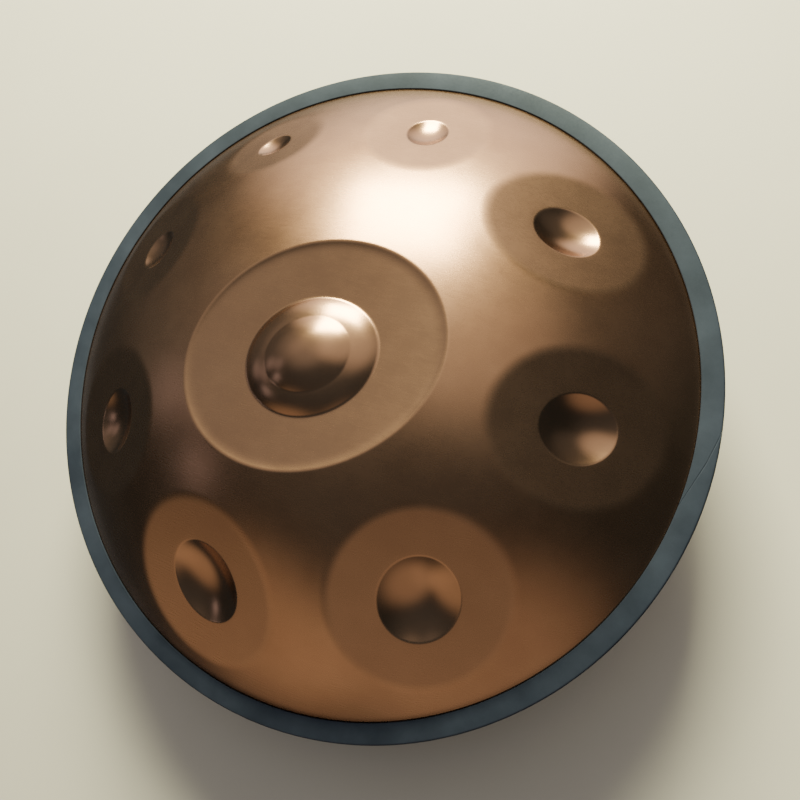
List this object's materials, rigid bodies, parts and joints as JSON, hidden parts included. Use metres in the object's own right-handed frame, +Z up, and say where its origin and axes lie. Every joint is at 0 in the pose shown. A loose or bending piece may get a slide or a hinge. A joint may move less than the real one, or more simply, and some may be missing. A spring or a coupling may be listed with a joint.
{
  "type": "handpan",
  "caption": "Lens-shaped steel hand percussion instrument with a raised centre note, a ring of dimpled tone fields, an open port underneath and a rubber trim around its rim.",
  "frame": {"origin": "on the instrument's axis, in the plane of the flat shoulder around the port that it stands on", "axes": "+Z up the instrument's axis and out through the ding; +X towards the third-lowest tone field, whose middle lies at zero degrees"},
  "size_m": [0.558, 0.558, 0.2204],
  "materials": {
    "shell_steel": "satin bronze heat colour, finely brushed",
    "glue": "cured adhesive",
    "trim_rubber": "matte slate blue-grey"
  },
  "bodies": {
    "root": {"top_shell": "shell_steel", "bottom_shell": "shell_steel", "flange_glue": "glue", "rim_trim": "trim_rubber"}
  },
  "joints": []
}
